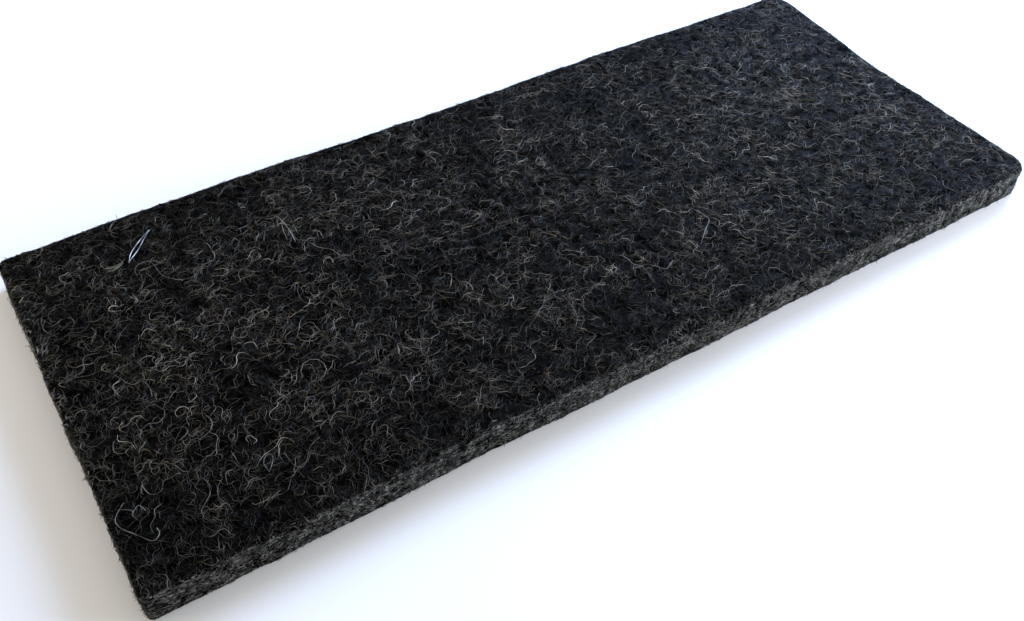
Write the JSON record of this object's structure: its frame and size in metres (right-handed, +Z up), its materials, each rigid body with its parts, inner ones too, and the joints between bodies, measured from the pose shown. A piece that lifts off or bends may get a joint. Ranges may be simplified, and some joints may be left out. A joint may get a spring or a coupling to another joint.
{
  "type": "chalkboard eraser",
  "caption": "Handle-free chalkboard eraser: one flat rectangular slab of thick pressed wool felt, square at one end and with rounded corners at the other.",
  "frame": {"origin": "under the middle of the slab's overall box, in the plane it rests on", "axes": "+X along the length towards the end with rounded corners, +Y across the width, +Z up through the thickness"},
  "size_m": [0.1464, 0.061, 0.005],
  "materials": {
    "felt": "matte, hairy pressed wool felt in a dark charcoal melange"
  },
  "bodies": {
    "root": {"felt_pad": "felt"}
  },
  "joints": []
}
